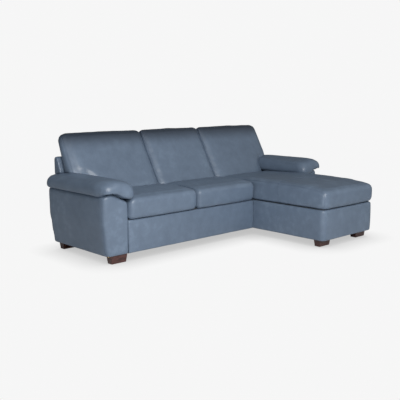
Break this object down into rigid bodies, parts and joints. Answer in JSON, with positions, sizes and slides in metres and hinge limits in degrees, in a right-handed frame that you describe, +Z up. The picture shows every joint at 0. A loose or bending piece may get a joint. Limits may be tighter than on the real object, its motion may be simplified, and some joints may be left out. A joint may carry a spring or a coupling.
{
  "type": "sectional sofa",
  "caption": "Leather sectional sofa with a chaise on the right, loose seat and back cushions, padded arms with pillow tops, and tapered wooden block feet.",
  "frame": {"origin": "on the floor, under the middle of the whole sofa's box", "axes": "+X along the sofa towards the chaise side, +Y towards the back, +Z up"},
  "size_m": [2.466, 1.4962, 0.8866],
  "materials": {
    "leather": "satin, finely pebbled",
    "dark_wood": "stained and lacquered",
    "frame_wood": "sawn, unfinished",
    "foam": "matte",
    "steel": "zinc plated",
    "black_cloth": "matte, woven",
    "black_legs": "matte"
  },
  "bodies": {
    "back_cushion_left": {"back_cushion_left_cover": "leather", "back_cushion_left_foam": "foam"},
    "back_cushion_middle": {"back_cushion_middle_cover": "leather", "back_cushion_middle_foam": "foam"},
    "back_cushion_right": {"back_cushion_right_cover": "leather", "back_cushion_right_foam": "foam"},
    "chaise_unit": {"chaise_back_cover": "leather", "chaise_back_posts": "frame_wood", "chaise_back_rail": "frame_wood", "chaise_back_top_rail": "frame_wood", "chaise_back_webbing": "black_cloth", "chaise_corner_blocks": "frame_wood", "chaise_cross_rail": "frame_wood", "chaise_dust_cover": "black_cloth", "chaise_feet": "dark_wood", "chaise_foot_bolts": "steel", "chaise_front_panel": "leather", "chaise_front_rail": "frame_wood", "chaise_seat_deck": "black_cloth", "chaise_seat_springs": "steel", "chaise_side_panels": "leather", "chaise_side_rails": "frame_wood", "chaise_spring_clips": "steel", "chaise_support_legs": "black_legs", "connector_sockets": "steel", "right_arm_boards": "frame_wood", "right_arm_bolts": "steel", "right_arm_cover": "leather", "right_arm_pad_cover": "leather", "right_arm_pad_fill": "foam", "right_arm_rails": "frame_wood"},
    "chaise_cushion": {"chaise_cushion_cover": "leather", "chaise_cushion_foam": "foam"},
    "sofa_unit": {"connector_plates": "steel", "left_arm_boards": "frame_wood", "left_arm_bolts": "steel", "left_arm_cover": "leather", "left_arm_pad_cover": "leather", "left_arm_pad_fill": "foam", "left_arm_rails": "frame_wood", "sofa_back_cover": "leather", "sofa_back_posts": "frame_wood", "sofa_back_rail": "frame_wood", "sofa_back_top_rail": "frame_wood", "sofa_back_webbing": "black_cloth", "sofa_centre_rail": "frame_wood", "sofa_dust_cover": "black_cloth", "sofa_end_rails": "frame_wood", "sofa_feet": "dark_wood", "sofa_foot_bolts": "steel", "sofa_front_panel": "leather", "sofa_front_rail": "frame_wood", "sofa_seat_deck": "black_cloth", "sofa_seat_springs": "steel", "sofa_spring_clips": "steel", "sofa_support_legs": "black_legs"},
    "seat_cushion_left": {"seat_cushion_left_cover": "leather", "seat_cushion_left_foam": "foam"},
    "seat_cushion_right": {"seat_cushion_right_cover": "leather", "seat_cushion_right_foam": "foam"}
  },
  "joints": [
    {"name": "chaise_unit_lift", "type": "slide", "parent": "sofa_unit", "child": "chaise_unit", "axis": [0, 0, 1], "range_m": [0, 0.06]},
    {"name": "seat_cushion_left_pull", "type": "slide", "parent": "sofa_unit", "child": "seat_cushion_left", "axis": [0, -1, 0], "range_m": [0, 0.3]},
    {"name": "seat_cushion_right_pull", "type": "slide", "parent": "sofa_unit", "child": "seat_cushion_right", "axis": [0, -1, 0], "range_m": [0, 0.3]},
    {"name": "chaise_cushion_pull", "type": "slide", "parent": "chaise_unit", "child": "chaise_cushion", "axis": [0, -1, 0], "range_m": [0, 0.3]},
    {"name": "back_cushion_left_raise", "type": "slide", "parent": "sofa_unit", "child": "back_cushion_left", "axis": [0, 0.373, 0.9278], "range_m": [0, 0.25]},
    {"name": "back_cushion_middle_raise", "type": "slide", "parent": "sofa_unit", "child": "back_cushion_middle", "axis": [0, 0.373, 0.9278], "range_m": [0, 0.25]},
    {"name": "back_cushion_right_raise", "type": "slide", "parent": "chaise_unit", "child": "back_cushion_right", "axis": [0, 0.373, 0.9278], "range_m": [0, 0.25]}
  ]
}
